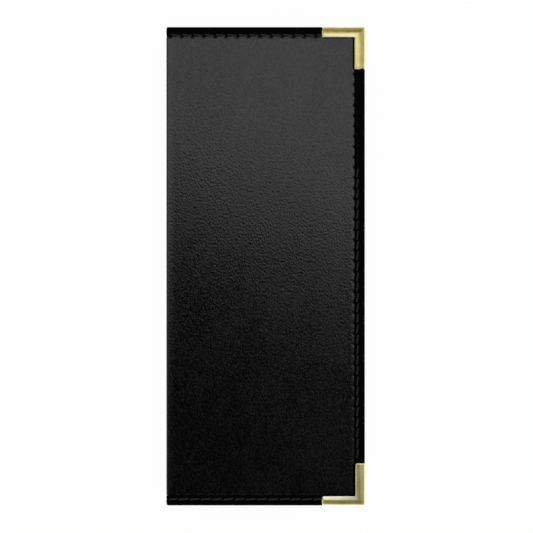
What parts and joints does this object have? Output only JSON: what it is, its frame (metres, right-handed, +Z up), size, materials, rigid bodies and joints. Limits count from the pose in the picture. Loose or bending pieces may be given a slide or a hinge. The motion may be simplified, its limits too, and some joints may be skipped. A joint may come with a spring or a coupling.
{
  "type": "menu cover",
  "caption": "Tall book-fold menu cover in black leatherette with sewn tape edges, brass fore-edge corners and clear inner pockets.",
  "frame": {"origin": "on the surface the closed cover lies on, below the middle of its outline", "axes": "+Z up through the closed cover from back to front, +Y up the page, +X from the spine to the open fore-edge"},
  "size_m": [0.121, 0.2922, 0.0076],
  "materials": {
    "leatherette": "satin, fine calf grain",
    "edge_tape": "smooth, soft sheen",
    "thread": "twisted polyester thread",
    "board": "plain grey board",
    "lining": "matt woven lining",
    "pocket_film": "clear film",
    "brass": "polished"
  },
  "bodies": {
    "back_cover": {"back_skin": "leatherette", "back_board": "board", "back_lining": "lining", "back_pocket_film": "pocket_film", "back_pocket_margin": "pocket_film", "back_binding_top": "edge_tape", "back_binding_fore_edge": "edge_tape", "back_binding_bottom": "edge_tape", "back_stitching_outer": "thread", "back_stitching_inner": "thread", "back_corner_top": "brass", "back_corner_bottom": "brass"},
    "spine": {"spine_skin": "leatherette", "spine_lining": "lining", "spine_binding_top": "edge_tape", "spine_binding_bottom": "edge_tape", "spine_stitching": "thread"},
    "front_cover": {"front_skin": "leatherette", "front_board": "board", "front_lining": "lining", "front_pocket_film": "pocket_film", "front_pocket_margin": "pocket_film", "front_binding_top": "edge_tape", "front_binding_fore_edge": "edge_tape", "front_binding_bottom": "edge_tape", "front_stitching_outer": "thread", "front_stitching_inner": "thread", "front_corner_top": "brass", "front_corner_bottom": "brass"}
  },
  "joints": [
    {"name": "back_fold", "type": "hinge", "parent": "back_cover", "child": "spine", "pos_m": [-0.05989, 0, 0.00091], "axis": [0, -1, 0], "range_deg": [0, 90]},
    {"name": "front_fold", "type": "hinge", "parent": "spine", "child": "front_cover", "pos_m": [-0.05989, 0, 0.00669], "axis": [0, -1, 0], "range_deg": [0, 90]}
  ],
  "couplings": [
    {"joint": "front_fold", "follows": "back_fold", "ratio": 1}
  ]
}
